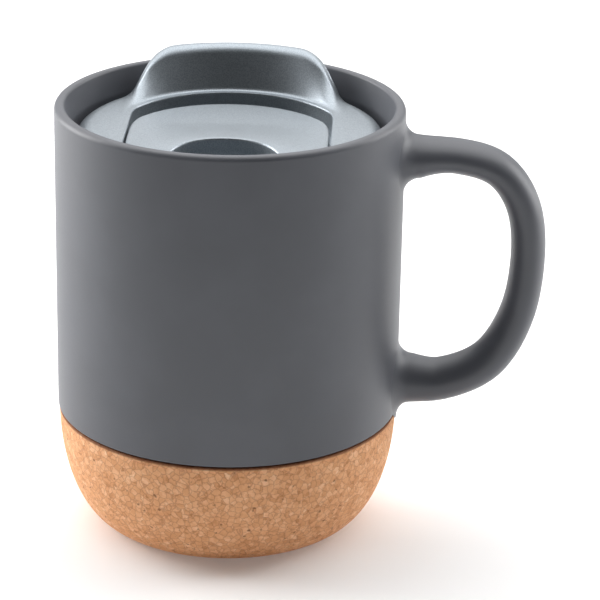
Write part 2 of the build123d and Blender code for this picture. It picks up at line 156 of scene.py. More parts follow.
class Solid:
    """A mesh piece under construction, made with bmesh operators in millimetres."""

    def __init__(self, name: str) -> None:
        """Starts an empty piece."""
        self.name = name
        self.bm = bmesh.new()

    def turn(self, outline: Profile, steps: int = 192) -> None:
        """Spins an outline of (radius, height) points all the way round Z."""
        verts = [self.bm.verts.new((r, 0.0, z)) for r, z in outline]
        edges = [self.bm.edges.new(pair) for pair in zip(verts, verts[1:])]
        bmesh.ops.spin(self.bm, geom=[*verts, *edges], axis=(0, 0, 1), cent=(0, 0, 0),
                       dvec=(0, 0, 0), angle=TURN, steps=steps, use_merge=True)
        bmesh.ops.remove_doubles(self.bm, verts=self.bm.verts, dist=1e-4)

    def rings(self, count: int, places: Sequence[Place], start_cap: bool = False,
              end_cap: bool = False) -> tuple[list, list]:
        """Extrudes one edge loop from place to place, so that the loops form a skin.

        Args:
            count: points in the loop.
            places: for each loop, the point that belongs to an angle.
            start_cap: closes the first loop with a face.
            end_cap: closes the last loop with a face.

        Returns:
            The edges of the first and of the last loop.
        """
        station = self.bm.verts.layers.int.get("station")
        if station is None:
            station = self.bm.verts.layers.int.new("station")
        ring = bmesh.ops.create_circle(self.bm, segments=count, radius=1.0)["verts"]
        for index, vert in enumerate(ring):
            vert[station] = index
            vert.co = places[0](TURN * index / count)
        edges = list({edge for vert in ring for edge in vert.link_edges})
        first = list(edges)
        for place in places[1:]:
            made = bmesh.ops.extrude_edge_only(self.bm, edges=edges)["geom"]
            ring = {item for item in made if isinstance(item, bmesh.types.BMVert)}
            edges = [item for item in made if isinstance(item, bmesh.types.BMEdge)
                     and item.verts[0] in ring and item.verts[1] in ring]
            for vert in ring:
                vert.co = place(TURN * vert[station] / count)
        for wanted, loop in ((start_cap, first), (end_cap, edges)):
            if wanted:
                bmesh.ops.contextual_create(self.bm, geom=loop)
        return first, edges

    def loop(self, points: Sequence[tuple[float, float]], height: float) -> list:
        """A closed loop of edges through (x, y) points at one height."""
        verts = [self.bm.verts.new((x, y, height)) for x, y in points]
        return [self.bm.edges.new(pair) for pair in zip(verts, verts[1:] + verts[:1])]

    def lift(self, edges: list, rise: float) -> list:
        """Extrudes a loop straight up by a rise, and returns the new loop's edges."""
        made = bmesh.ops.extrude_edge_only(self.bm, edges=edges)["geom"]
        verts = [item for item in made if isinstance(item, bmesh.types.BMVert)]
        bmesh.ops.translate(self.bm, verts=verts, vec=(0, 0, rise))
        ring = set(verts)
        return [item for item in made if isinstance(item, bmesh.types.BMEdge)
                and item.verts[0] in ring and item.verts[1] in ring]

    def fill(self, edges: list) -> None:
        """Fills the flat region between an outer loop and the loops inside it."""
        bmesh.ops.triangle_fill(self.bm, edges=edges, use_beauty=True)

    def block(self, low: Sequence[float], high: Sequence[float], edge: float = 0.0) -> None:
        """A box between two corners, with its edges rounded."""
        middle = (Vector(low) + Vector(high)) / 2.0
        size = Vector(high) - Vector(low)
        place = Matrix.Translation(middle) @ Matrix.Diagonal((*size, 1.0))
        verts = bmesh.ops.create_cube(self.bm, size=1.0, matrix=place)["verts"]
        if edge:
            edges = list({link for vert in verts for link in vert.link_edges})
            bmesh.ops.bevel(self.bm, geom=edges, offset=edge, offset_type="OFFSET",
                            segments=3, profile=0.5, affect="EDGES", material=-1)

    def done(self, body: str, material: bpy.types.Material,
             replaces: Sequence[str] = (), crease: float = 38.0) -> bpy.types.Object:
        """Turns the mesh into a finished object that rides on a body.

        Args:
            body: CAD body it moves with.
            material: its finish.
            replaces: CAD nodes that it stands for.
            crease: angle in degrees above which an edge stays sharp.

        Returns:
            The new object.
        """
        bmesh.ops.recalc_face_normals(self.bm, faces=self.bm.faces)
        bmesh.ops.scale(self.bm, vec=(MM, MM, MM), verts=self.bm.verts)
        mesh = bpy.data.meshes.new(self.name)
        self.bm.to_mesh(mesh)
        self.bm.free()
        mesh.polygons.foreach_set("use_smooth", [True] * len(mesh.polygons))
        mesh.set_sharp_from_angle(angle=math.radians(crease))
        mesh.materials.append(material)
        piece = bpy.data.objects.new(self.name, mesh)
        bpy.context.scene.collection.objects.link(piece)
        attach(piece, body)
        if replaces:
            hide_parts(*replaces)
        LOG.info("%s: %d faces on body %s", self.name, len(mesh.polygons), body)
        return piece


# ------------------------------------------------------------------ shader graph

class Flow:
    """A value inside a material: one output socket, with arithmetic on it."""

    def __init__(self, graph: "Graph", socket: bpy.types.NodeSocket) -> None:
        """Wraps a socket."""
        self.graph = graph
        self.socket = socket

    def math(self, operation: str, first: object, second: object) -> "Flow":
        """One Math node on two values."""
        return self.graph.node("ShaderNodeMath", {"operation": operation}, {0: first, 1: second})

    def __add__(self, other: object) -> "Flow":
        """Sum."""
        return self.math("ADD", self, other)

    __radd__ = __add__

    def __sub__(self, other: object) -> "Flow":
        """Difference."""
        return self.math("SUBTRACT", self, other)

    def __rsub__(self, other: object) -> "Flow":
        """Reflected difference."""
        return self.math("SUBTRACT", other, self)

    def __mul__(self, other: object) -> "Flow":
        """Product."""
        return self.math("MULTIPLY", self, other)

    __rmul__ = __mul__

    def ramp(self, low: float, high: float, out_low: float = 0.0,
             out_high: float = 1.0) -> "Flow":
        """Smooth step from one output to another as the value goes from low to high."""
        return self.graph.node(
            "ShaderNodeMapRange", {"interpolation_type": "SMOOTHSTEP"},
            {"Value": self, "From Min": low, "From Max": high, "To Min": out_low,
             "To Max": out_high})


class Graph:
    """The node tree of one material."""

    def __init__(self, name: str) -> None:
        """Starts a material with only its output node."""
        self.material = bpy.data.materials.new(name)
        self.material.use_nodes = True
        self.tree = self.material.node_tree
        self.tree.nodes.clear()
        self.place = self.node("ShaderNodeTexCoord", {}, {}, "Object")

    def node(self, kind: str, settings: dict, inputs: dict, output: object = 0) -> Flow:
        """Adds a node.

        Args:
            kind: the node's type.
            settings: its properties, set first; "stops" are a ramp's positions and colours.
            inputs: values or Flows for its input sockets, by name or number.
            output: name or number of the output that is returned.

        Returns:
            The chosen output.
        """
        made = self.tree.nodes.new(kind)
        for key, value in settings.items():
            if key == "stops":
                self._set_stops(made.color_ramp, value)
            else:
                setattr(made, key, value)
        for key, value in inputs.items():
            if isinstance(value, Flow):
                self.tree.links.new(value.socket, made.inputs[key])
            else:
                made.inputs[key].default_value = value
        return Flow(self, made.outputs[output])

    @staticmethod
    def _set_stops(ramp: bpy.types.ColorRamp, stops: Sequence[tuple]) -> None:
        """Gives a colour ramp its stops."""
        while len(ramp.elements) < len(stops):
            ramp.elements.new(0.5)
        for element, (position, colour) in zip(ramp.elements, stops):
            element.position = position
            element.color = (*colour, 1.0)

    def noise(self, size: float, detail: float = 2.0, rough: float = 0.5,
              place: Flow | None = None) -> Flow:
        """Noise whose features are about the given size in millimetres."""
        return self.node("ShaderNodeTexNoise", {"noise_dimensions": "3D"},
                         {"Vector": place or self.place, "Scale": 1.0 / (size * MM),
                          "Detail": detail, "Roughness": rough}, "Fac")

    def cells(self, size: float, feature: str, output: str, place: Flow | None = None) -> Flow:
        """Voronoi cells about the given size in millimetres."""
        return self.node("ShaderNodeTexVoronoi", {"feature": feature},
                         {"Vector": place or self.place, "Scale": 1.0 / (size * MM)}, output)

    def height(self) -> Flow:
        """Height above the table, in metres."""
        return self.node("ShaderNodeSeparateXYZ", {}, {"Vector": self.place}, "Z")

    def blend(self, share: object, first: object, second: object) -> Flow:
        """Mixes two colours."""
        return self.node("ShaderNodeMix", {"data_type": "RGBA", "blend_type": "MIX"},
                         {0: share, 6: first, 7: second}, 2)

    def bump(self, height: Flow, depth: float, strength: float = 1.0) -> Flow:
        """A normal from a height of 0 to 1 that stands for a depth in millimetres."""
        return self.node("ShaderNodeBump", {},
                         {"Height": height, "Distance": depth * MM, "Strength": strength})

    def surface(self, inputs: dict) -> bpy.types.Material:
        """Ends the tree in one Principled surface and returns the material."""
        shader = self.node("ShaderNodeBsdfPrincipled", {}, inputs)
        self.node_output(shader)
        return self.material

    def node_output(self, shader: Flow) -> None:
        """Links a shader to the material's output."""
        end = self.tree.nodes.new("ShaderNodeOutputMaterial")
        self.tree.links.new(shader.socket, end.inputs["Surface"])


Colour = tuple[float, float, float]


def paint(red: int, green: int, blue: int) -> Colour:
    """A linear colour from the 0 to 255 values of a display."""
    def linear(value: int) -> float:
        """One channel."""
        share = value / 255.0
        return share / 12.92 if share <= 0.04045 else ((share + 0.055) / 1.055) ** 2.4
    return linear(red), linear(green), linear(blue)


def full(colour: Colour) -> tuple[float, float, float, float]:
    """A colour with full alpha, as sockets want it."""
    return (*colour, 1.0)


@dataclass(frozen=True)
class MattGlaze:
    """Dark grey satin-matt glaze on stoneware."""

    colour: Colour = paint(84, 86, 92)
    roughness: float = 0.46
    grain: float = 0.35
    cloud: float = 22.0

    def make(self) -> bpy.types.Material:
        """Builds the material."""
        graph = Graph("matt_glaze")
        clouds = graph.noise(self.cloud, 3.0)
        grain = graph.noise(self.grain, 2.0)
        pores = graph.cells(1.7, "F1", "Distance").ramp(0.06, 0.16)
        dark = tuple(0.93 * value for value in self.colour)
        light = tuple(1.06 * value for value in self.colour)
        tone = graph.blend(clouds.ramp(0.35, 0.65), full(dark), full(light))
        tone = graph.blend((1.0 - grain.ramp(0.62, 0.78)) * 0.06, tone, full(light))
        relief = grain * 0.8 + pores * 0.2
        return graph.surface({
            "Base Color": tone,
            "Roughness": self.roughness + (clouds - 0.5) * 0.10 + (grain - 0.5) * 0.08,
            "Specular IOR Level": 0.5,
            "Normal": graph.bump(relief, 0.012, 0.5),
        })


@dataclass(frozen=True)
class Cork:
    """Agglomerated cork: pressed granules, darker bark flecks and open pores, with painted shade
    and a painted reddish bounce in a band just under its top edge.
    """

    granule: float = 1.5
    painted_shade_top: float = 29.4
    painted_shade_width: float = 0.9

    def make(self) -> bpy.types.Material:
        """Builds the material."""
        graph = Graph("agglomerated_cork")
        wobble = graph.node("ShaderNodeTexNoise", {"noise_dimensions": "3D"},
                            {"Vector": graph.place, "Scale": 1.0 / (0.9 * MM), "Detail": 2.0},
                            "Color")
        shift = graph.node("ShaderNodeVectorMath", {"operation": "SCALE"},
                           {0: wobble, "Scale": 0.9 * MM})
        place = graph.node("ShaderNodeVectorMath", {"operation": "ADD"},
                           {0: graph.place, 1: shift})
        shade = graph.node("ShaderNodeSeparateColor", {},
                           {0: graph.cells(self.granule, "F1", "Color", place)}, 0)
        small = graph.node("ShaderNodeSeparateColor", {},
                           {0: graph.cells(0.6 * self.granule, "F1", "Color", place)}, 1)
        seam = graph.cells(self.granule, "DISTANCE_TO_EDGE", "Distance", place)
        fine = graph.noise(0.22, 3.0, 0.6)
        tone = graph.node("ShaderNodeValToRGB", {"stops": [
            (0.0, paint(190, 128, 84)), (0.18, paint(222, 162, 114)), (0.55, paint(234, 176, 130)),
            (0.85, paint(243, 192, 148)), (1.0, paint(250, 208, 166))]},
            {0: shade * 0.6 + small * 0.4}, "Color")
        tone = graph.blend(fine.ramp(0.3, 0.75) * 0.35, tone, full(paint(206, 146, 102)))
        crack = 1.0 - seam.ramp(0.0, 0.09)
        tone = graph.blend(crack * 0.45, tone, full(paint(160, 100, 64)))
        fleck = graph.cells(2.6, "F1", "Distance", place).ramp(0.10, 0.2, 1.0, 0.0)
        tone = graph.blend(fleck * small.ramp(0.45, 0.6) * 0.75, tone, full(paint(128, 76, 46)))
        # Painted shade with a painted reddish bounce: a dark reddish-brown band just under the
        # cork's top edge, where the cup sits on it.
        top = graph.height().ramp((self.painted_shade_top - self.painted_shade_width) * MM,
                                  (self.painted_shade_top - 0.35 * self.painted_shade_width) * MM)
        tone = graph.blend(top * 0.8, tone, full(paint(110, 58, 36)))
        relief = (1.0 - crack) * 0.6 + fine * 0.25 + shade * 0.25 - fleck * 0.3
        return graph.surface({
            "Base Color": tone,
            "Roughness": 0.86 - crack * 0.1,
            "Specular IOR Level": 0.25,
            "Normal": graph.bump(relief, 0.12, 0.8),
        })


@dataclass(frozen=True)
class PearlPlastic:
    """Silver-grey moulded plastic with a fine metallic grain."""

    name: str = "pearl_plastic"
    colour: Colour = paint(144, 151, 157)
    metal: float = 0.84
    roughness: float = 0.42
    grain: float = 0.28

    def make(self) -> bpy.types.Material:
        """Builds the material."""
        graph = Graph(self.name)
        flake = graph.noise(self.grain, 1.0)
        clouds = graph.noise(9.0, 2.0)
        dark = tuple(0.86 * value for value in self.colour)
        light = tuple(min(1.0, 1.14 * value) for value in self.colour)
        tone = graph.blend(flake.ramp(0.3, 0.7), full(dark), full(light))
        return graph.surface({
            "Base Color": tone,
            "Metallic": self.metal,
            "Roughness": self.roughness + (flake - 0.5) * 0.16 + (clouds - 0.5) * 0.06,
            "Normal": graph.bump(flake, 0.012, 0.5),
        })


@dataclass(frozen=True)
class Moulded:
    """A plain moulded polymer: silicone, inner plastic or cured adhesive."""

    name: str
    colour: Colour
    roughness: float
    grain: float = 0.5

    def make(self) -> bpy.types.Material:
        """Builds the material."""
        graph = Graph(self.name)
        grain = graph.noise(self.grain, 2.0)
        clouds = graph.noise(6.0, 2.0)
        dark = tuple(0.88 * value for value in self.colour)
        tone = graph.blend(clouds.ramp(0.35, 0.7), full(dark), full(self.colour))
        return graph.surface({
            "Base Color": tone,
            "Roughness": self.roughness + (grain - 0.5) * 0.14,
            "Normal": graph.bump(grain, 0.02, 0.4),
        })


class Finish(Enum):
    """The finishes of the mug, each with its name."""

    CERAMIC = "ceramic"
    CORK = "cork"
    ADHESIVE = "adhesive"
    LID = "lid_plastic"
    SILICONE = "silicone"
    INNER = "inner_plastic"


# ------------------------------------------------------------------ the mug

@dataclass
class Ceramic:
    """The glazed cup and its handle."""

    material: bpy.types.Material
    radius: float = field(default_factory=lambda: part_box("mug_body")[1].y / MM)
    top: float = field(default_factory=lambda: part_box("mug_body")[1].z / MM)
    foot_low: float = field(default_factory=lambda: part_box("mug_body")[0].z / MM)
    seam: float = field(default_factory=lambda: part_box("cork_base")[1].z / MM)
    wall: float = 3.8
    lip: float = 2.5
    lip_taper: float = 6.5
    foot_inset: float = 3.7
    foot_flat_inset: float = 15.0
    floor: float = 4.2
    floor_round: float = 14.0
    seam_gap: float = 0.3
    waist: float = 10.0
    handle_reach: float = 30.6
    handle_top_drop: float = 11.8
    handle_bottom_rise: float = 7.3
    handle_half_width: float = 6.7
    handle_length: float = 110.0
    upper_arm: float = 4.0
    grip: float = 4.2
    lower_arm: float = 5.2
    root_reach: float = 12.0
    root_flare: float = 1.3
    root_sag: float = 1.6
    root_fillet: float = 4.0
    root_sink: float = 0.02

    def cup_outline(self) -> Profile:
        """The cup's section, from the floor's middle outside to the floor's middle inside."""
        bore = self.radius - self.wall
        foot = self.radius - self.foot_inset
        flat = self.radius - self.foot_flat_inset
        foot_bore = foot - self.wall
        shoulder = self.seam + self.seam_gap
        floor = self.foot_low + self.floor
        line: Profile = [(0.0, self.foot_low)]
        for share in spread(17):
            angle = math.radians(mix(-90.0, 0.0, share))
            line.append((flat + (foot - flat) * math.cos(angle),
                         self.seam + (self.seam - self.foot_low) * math.sin(angle)))
        line += rounded([
            (foot, self.seam + 0.05, 0.0), (foot, shoulder, 0.1), (self.radius, shoulder, 0.6),
            (self.radius, self.top, 1.3), (self.radius - self.lip, self.top, 0.82),
            (bore, self.top - self.lip_taper, 6.0), (bore, shoulder + self.waist, 0.0)])
        corner = floor + self.floor_round
        for share in spread(9)[1:]:
            line.append((mix(bore, foot_bore, ease(share)),
                         mix(shoulder + self.waist, corner, share)))
        for share in spread(13)[1:]:
            angle = math.radians(90.0 * share)
            line.append((foot_bore - self.floor_round * (1.0 - math.cos(angle)),
                         corner - self.floor_round * math.sin(angle)))
        return [*line, (0.0, floor)]

    def handle_point(self, share: float) -> Vector:
        """A point of the handle's centreline, from the upper root to the lower one."""
        top = self.top - self.handle_top_drop
        low = self.seam + self.handle_bottom_rise
        bends = [(0.0, 1.0), (0.42, 1.0), (0.745, 0.944), (0.945, 0.79), (1.0, 0.57),
                 (0.935, 0.31), (0.72, 0.098), (0.36, 0.0), (0.0, 0.0)]
        points = [Vector((self.radius + out * self.handle_reach, 0.0, mix(low, top, up)))
                  for out, up in bends]
        points = [2 * points[0] - points[1], *points, 2 * points[-1] - points[-2]]
        place = limit(share, 0.0, 0.99999) * (len(points) - 3)
        index = int(place)
        t = place - index
        a, b, c, d = points[index:index + 4]
        return 0.5 * (2 * b + (c - a) * t + (2 * a - 5 * b + 4 * c - d) * t * t
                      + (3 * b - a - 3 * c + d) * t * t * t)

    def handle_section(self, share: float) -> Place:
        """The handle's oval section at a share of the way along."""
        centre = self.handle_point(share)
        ahead = self.handle_point(share + 0.004) - self.handle_point(share - 0.004)
        normal = Vector((0, 1, 0)).cross(ahead).normalized()
        upper = share < 0.5
        arm = self.upper_arm if upper else self.lower_arm
        thick = mix(self.grip, arm, ease(abs(2 * share - 1)))
        near = limit(1.0 - (centre.x - self.radius) / self.root_reach)
        flare = self.root_flare * near * near
        sag = self.root_sag * near * near if upper else 0.0

        def place(angle: float) -> tuple[float, float, float]:
            """The point of the section at an angle."""
            wide = (self.handle_half_width + flare) * math.cos(angle)
            deep = (thick + flare + sag / 2) * math.sin(angle)
            point = centre + Vector((0, wide, -sag / 2)) + normal * deep
            return tuple(point)
        return place

    def handle_root(self, share: float, turn: float) -> Place:
        """A loop of the fillet between the handle's first or last section and the wall.

        Args:
            share: where that section is on the handle.
            turn: progress round the fillet, from 0 at the section to 1 at the wall.

        Returns:
            The loop's points by angle.
        """
        section = self.handle_section(share)
        middle = self.handle_point(share)
        in_share = math.sin(turn * math.pi / 2)
        grow = self.root_fillet * (1.0 - math.cos(turn * math.pi / 2))

        def place(angle: float) -> tuple[float, float, float]:
            """The point of the loop at an angle."""
            start = Vector(section(angle))
            out = Vector((0.0, start.y, start.z - middle.z))
            out += out.normalized() * grow
            wall = math.sqrt(self.radius ** 2 - out.y ** 2) - self.root_sink
            return mix(start.x, wall, in_share), out.y, middle.z + out.z
        return place

    def make(self) -> bpy.types.Object:
        """The cup, and the handle: an oval carried along its centreline, filleted into the wall."""
        solid = Solid("glazed_mug")
        solid.turn(self.cup_outline(), steps=256)
        start = self.root_fillet / self.handle_length
        shares = [mix(start, 1.0 - start, share) for share in spread(97)]
        turns = spread(9)
        places = [self.handle_root(start, turn) for turn in reversed(turns[1:])]
        places += [self.handle_section(share) for share in shares]
        places += [self.handle_root(1.0 - start, turn) for turn in turns[1:]]
        solid.rings(56, places, True, True)
        return solid.done("mug", self.material,
                          ["mug_body", "mug_handle"])


@dataclass
class CorkBase:
    """The turned cork bowl under the cup."""

    material: bpy.types.Material
    radius: float = field(default_factory=lambda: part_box("cork_base")[1].y / MM)
    top: float = field(default_factory=lambda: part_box("cork_base")[1].z / MM)
    flat_inset: float = 13.4
    wall: float = 3.2
    floor: float = 5.0
    socket_flat_inset: float = 11.5

    def make(self) -> bpy.types.Object:
        """The cork base."""
        flat = self.radius - self.flat_inset
        socket = self.radius - self.wall
        socket_flat = socket - self.socket_flat_inset
        line: Profile = [(0.0, 0.0)]
        for share in spread(41):
            angle = math.radians(mix(-90.0, -1.5, share))
            line.append((flat + (self.radius - flat) * math.cos(angle),
                         self.top + self.top * math.sin(angle)))
        line += rounded([(*line[-1], 0.0), (self.radius, self.top, 0.45),
                         (socket, self.top, 0.25), (socket, self.top - 1.0, 0.0)])
        for share in spread(17)[1:]:
            angle = math.radians(mix(0.0, -90.0, share))
            line.append((socket_flat + (socket - socket_flat) * math.cos(angle),
                         self.top + (self.top - self.floor) * math.sin(angle)))
        line.append((0.0, self.floor))
        solid = Solid("cork_bowl")
        solid.turn(line, steps=256)
        return solid.done("mug", self.material, ["cork_base"])


# ------------------------------------------------------------------ the lid

@dataclass
class LidPlan:
    """The lid's shared sizes, seen from above."""

    flange: float = field(default_factory=lambda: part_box("lid_body")[1].y / MM)
    crest: float = field(default_factory=lambda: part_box("lid_body")[1].z / MM)
    skirt_low: float = field(default_factory=lambda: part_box("lid_body")[0].z / MM)
    rise: float = 10.3
    lip_half_top: float = 19.8
    lip_half_foot: float = 26.0
    lip_top_round: float = 8.0
    lip_foot_round: float = 3.5
    pocket_back_inset: float = 10.2
    pocket_front_inset: float = 6.8
    corner_angle: float = 67.4
    pocket_corner: float = 1.2
    pocket_depth: float = 5.6
    shutter_gap: float = 0.35
    travel: float = 8.5
    shutter_corner: float = 2.0
    dish_radius: float = 13.1
    dish_length: float = 16.3
    dish_wall: float = 1.4
    lip_line: Profile = field(init=False)

    def __post_init__(self) -> None:
        """Draws the drinking lip as it is seen along Y: its height above the deck against x."""
        self.lip_line = rounded([
            (0.0, self.rise, 0.0), (self.lip_half_top, self.rise, self.lip_top_round),
            (self.lip_half_foot, 0.0, self.lip_foot_round), (self.flange, 0.0, 0.0)], 12)

    @property
    def deck(self) -> float:
        """Height of the flat deck."""
        return self.crest - self.rise

    @property
    def pocket_floor(self) -> float:
        """Height of the pocket's floor."""
        return self.deck - self.pocket_depth

    @property
    def pocket_back(self) -> float:
        """Radius of the pocket's back wall."""
        return self.flange - self.pocket_back_inset

    @property
    def pocket_front(self) -> float:
        """Radius of the pocket's front wall."""
        return self.flange - self.pocket_front_inset

    @property
    def pocket_half(self) -> float:
        """Half the pocket's width."""
        return self.pocket_back * math.sin(math.radians(self.corner_angle))

    @property
    def dish_y(self) -> float:
        """Centre of the thumb dish."""
        return self.dish_length - self.dish_radius - self.pocket_front + self.shutter_gap

    @property
    def shutter_back(self) -> float:
        """The open shutter's back edge on the Y axis."""
        return self.pocket_back - self.shutter_gap - self.travel

    def in_pocket(self, x: float, y: float) -> float:
        """Signed distance to the pocket's outline."""
        around = self.pocket_back if y > 0.0 else self.pocket_front
        return rounded_cut([abs(x) - self.pocket_half, math.hypot(x, y) - around],
                           self.pocket_corner)

    def in_shutter(self, x: float, y: float) -> float:
        """Signed distance to the shutter's outline."""
        back = self.pocket_back - self.shutter_gap
        return rounded_cut([abs(x) - self.pocket_half + self.shutter_gap,
                            math.hypot(x, y) - self.pocket_front + self.shutter_gap,
                            math.hypot(x, y - self.shutter_back + back) - back],
                           self.shutter_corner)

    def in_dish(self, x: float, y: float) -> float:
        """Signed distance to the thumb dish's outline."""
        front = self.pocket_front - self.shutter_gap - self.dish_wall
        return rounded_cut([math.hypot(x, y - self.dish_y) - self.dish_radius,
                            math.hypot(x, y) - front], 0.4)

    def lip_share(self, radius: float, angle: float) -> float:
        """Height of the drinking lip over a point, as a share of its rise."""
        x = abs(radius * math.cos(angle))
        if math.sin(angle) <= 0.0:
            return 0.0
        for (x0, z0), (x1, z1) in zip(self.lip_line, self.lip_line[1:]):
            if x0 <= x <= x1 and x1 > x0:
                return mix(z0, z1, (x - x0) / (x1 - x0)) / self.rise
        return 0.0


@dataclass
class LidBody:
    """The lid's moulding: deck, drinking lip, pocket, flange and skirt."""

    plan: LidPlan
    material: bpy.types.Material
    points: int = 480
    ramp_inset: float = 9.0
    crest_inset: float = 3.5
    crest_round: float = 3.4
    foot_round: float = 1.2
    face_inset: float = 0.5
    deck_wall: float = 1.7
    shoulder: float = 3.6
    shoulder_drop: float = 1.8
    edge_height: float = 1.4
    skirt_inset: float = 2.3
    skirt_wall: float = 1.8
    bead_height: float = 1.3
    bead_out: float = 0.7
    pocket_wall: float = 1.6
    pocket_bottom: float = 1.6
    hole_inset: float = 3.1
    hole_width: float = 5.4
    hole_half_angle: float = 22.0
    slot_beside: float = 5.1
    slot_half_width: float = 1.8
    slot_front: float = 12.8
    slot_back: float = 7.2
    vent_radius: float = 0.8

    def drop(self, radius: float) -> float:
        """How far the plain deck has rounded down at a radius."""
        run = max(0.0, radius - self.plan.flange + self.shoulder)
        arc = (self.shoulder ** 2 + self.shoulder_drop ** 2) / (2.0 * self.shoulder_drop)
        return arc - math.sqrt(max(0.0, arc * arc - run * run))

    def skin(self) -> list[Place]:
        """The loops of the whole moulding, from the pocket floor over the top and back."""
        plan = self.plan
        edge, deck = plan.flange, plan.deck
        table: dict[float, float] = {}

        def pocket(angle: float) -> float:
            """Radius of the pocket's outline at an angle."""
            if angle not in table:
                table[angle] = radius_inside(plan.in_pocket, 0.0, angle)
            return table[angle]

        def at(radius: Callable[[float], float], height: Callable[[float], float]) -> Place:
            """A loop from its radius and height at each angle."""
            def place(angle: float) -> tuple[float, float, float]:
                """The point at an angle."""
                r = radius(angle)
                return r * math.cos(angle), r * math.sin(angle), height(angle)
            return place

        def wall(inset: float, height: float) -> Place:
            """A loop that follows the pocket's outline."""
            return at(lambda angle: pocket(angle) - inset, lambda angle: height)

        crest = edge - self.crest_inset
        line = even(rounded([(plan.pocket_back, 0.0, 0.0),
                             (edge - self.ramp_inset, 0.0, self.foot_round),
                             (crest, plan.rise, self.crest_round),
                             (crest + 2.4, plan.rise, 0.0)], 16), 40)
        first_r, last_r = line[0][0], line[-1][0]

        def ramp(at_r: float, at_z: float) -> Place:
            """A loop of the deck, which climbs to the crest where the lip stands."""
            share = (at_r - first_r) / (last_r - first_r)

            def radius(angle: float) -> float:
                """Radius of the loop."""
                return mix(pocket(angle) + 0.35, last_r, share)

            def height(angle: float) -> float:
                """Height of the loop."""
                lip = plan.lip_share(radius(angle), angle)
                return deck - self.drop(radius(angle)) * (1.0 - lip) + lip * at_z
            return at(radius, height)

        def face(share: float, inset: float, climb: float) -> Place:
            """A loop between the crest and the flange's edge."""
            plain = mix(last_r, edge - 0.25, share)

            def lip(angle: float) -> float:
                """Share of the lip's height at the crest."""
                return plan.lip_share(last_r, angle)

            def radius(angle: float) -> float:
                """Radius of the loop."""
                return mix(plain, edge - inset, limit(4.0 * lip(angle)))

            def height(angle: float) -> float:
                """Height of the loop."""
                return mix(deck - self.drop(plain), deck + climb, lip(angle))
            return at(radius, height)

        def ring(radius: float, height: float) -> Place:
            """A plain round loop."""
            return at(lambda angle: radius, lambda angle: height)

        def hollow(plain_r: float, lip_r: float, climb: float) -> Place:
            """A loop of the space under the ramp."""
            def lip(angle: float) -> float:
                """Share of the lip's height, drawn in at its ends."""
                return plan.lip_share(edge + 1.5, angle)
            return at(lambda angle: mix(plain_r, lip_r, lip(angle)),
                      lambda angle: deck - self.deck_wall + climb * lip(angle))

        floor = plan.pocket_floor
        under = floor - self.pocket_bottom
        low = deck - self.shoulder_drop - self.edge_height
        skirt = edge - self.skirt_inset
        inner = skirt - self.skirt_wall
        bottom = plan.skirt_low
        bead = skirt + self.bead_out
        places = [wall(0.7, floor), wall(0.2, floor + 0.2), wall(0.0, floor + 0.7),
                  wall(0.0, deck - 0.4), wall(-0.05, deck - 0.2), wall(-0.18, deck - 0.05)]
        places += [ramp(r, z) for r, z in line]
        inset = self.face_inset
        places += [face(0.12, inset + 0.37, plan.rise - 0.04),
                   face(0.24, inset + 0.18, plan.rise - 0.17),
                   face(0.36, inset + 0.04, plan.rise - 0.38), face(0.48, inset, plan.rise - 0.8)]
        places += [face(mix(0.5, 0.85, share), inset, mix(0.8 * plan.rise, -0.6, share))
                   for share in spread(9)]
        places += [face(0.93, 0.66, -1.1), face(1.0, 0.3, -1.6)]
        places += [ring(edge - 0.08, low + self.edge_height - 0.1), ring(edge, low + 1.1),
                   ring(edge, low + 0.3), ring(edge - 0.1, low + 0.08), ring(edge - 0.3, low),
                   ring(skirt, low), ring(skirt, bottom + self.bead_height),
                   ring(bead - 0.2, bottom + self.bead_height),
                   ring(bead, bottom + self.bead_height - 0.2), ring(bead, bottom + 0.6),
                   ring(bead - 0.3, bottom + 0.2), ring(skirt - 0.2, bottom),
                   ring(inner + 0.2, bottom), ring(inner, bottom + 0.3)]
        places += [hollow(inner, inner, -0.3), hollow(inner - 0.2, inner + 0.9, 0.2),
                   hollow(inner - 0.3, inner + 1.2, 6.2), hollow(inner - 0.4, inner + 0.6, 7.3),
                   hollow(inner - 0.6, inner - 1.0, 3.9), hollow(inner - 0.8, inner - 2.2, 1.2),
                   hollow(inner - 1.0, inner - 3.0, 0.0)]
        places += [wall(-self.pocket_wall, deck - self.deck_wall),
                   wall(-self.pocket_wall, under + 0.4), wall(0.3 - self.pocket_wall, under + 0.1),
                   wall(0.7 - self.pocket_wall, under)]
        return places

    def holes(self) -> list[list[tuple[float, float]]]:
        """Outlines of the drink hole, the shutter's leg slots and the vent."""
        plan = self.plan
        outer = plan.pocket_back - self.hole_inset
        inner = outer - self.hole_width
        half = math.radians(self.hole_half_angle)
        arc = [math.pi / 2 + mix(-half, half, share) for share in spread(17)]
        drink = [(outer * math.cos(a), outer * math.sin(a)) for a in arc]
        drink += [(inner * math.cos(a), inner * math.sin(a)) for a in reversed(arc)]
        leg_x = outer * math.sin(half) + self.slot_beside
        wide = self.slot_half_width
        front = plan.shutter_back - self.slot_front
        back = plan.shutter_back - self.slot_back + plan.travel
        slots = [[(side * leg_x - wide, front), (side * leg_x + wide, front),
                  (side * leg_x + wide, back), (side * leg_x - wide, back)] for side in (-1, 1)]
        turns = [TURN * index / 24 for index in range(24)]
        vent = [(self.vent_radius * math.cos(turn), plan.dish_y + self.vent_radius * math.sin(turn))
                for turn in turns]
        return [drink, *slots, vent]

    def make(self) -> bpy.types.Object:
        """The lid's moulding as one closed skin."""
        solid = Solid("lid_moulding")
        first, last = solid.rings(self.points, self.skin())
        floor_edges, under_edges = list(first), list(last)
        for outline in self.holes():
            loop = solid.loop(outline, self.plan.pocket_floor)
            floor_edges += loop
            under_edges += solid.lift(loop, -self.pocket_bottom)
        solid.fill(floor_edges)
        solid.fill(under_edges)
        return solid.done("lid", self.material, ["lid_body"], crease=32.0)


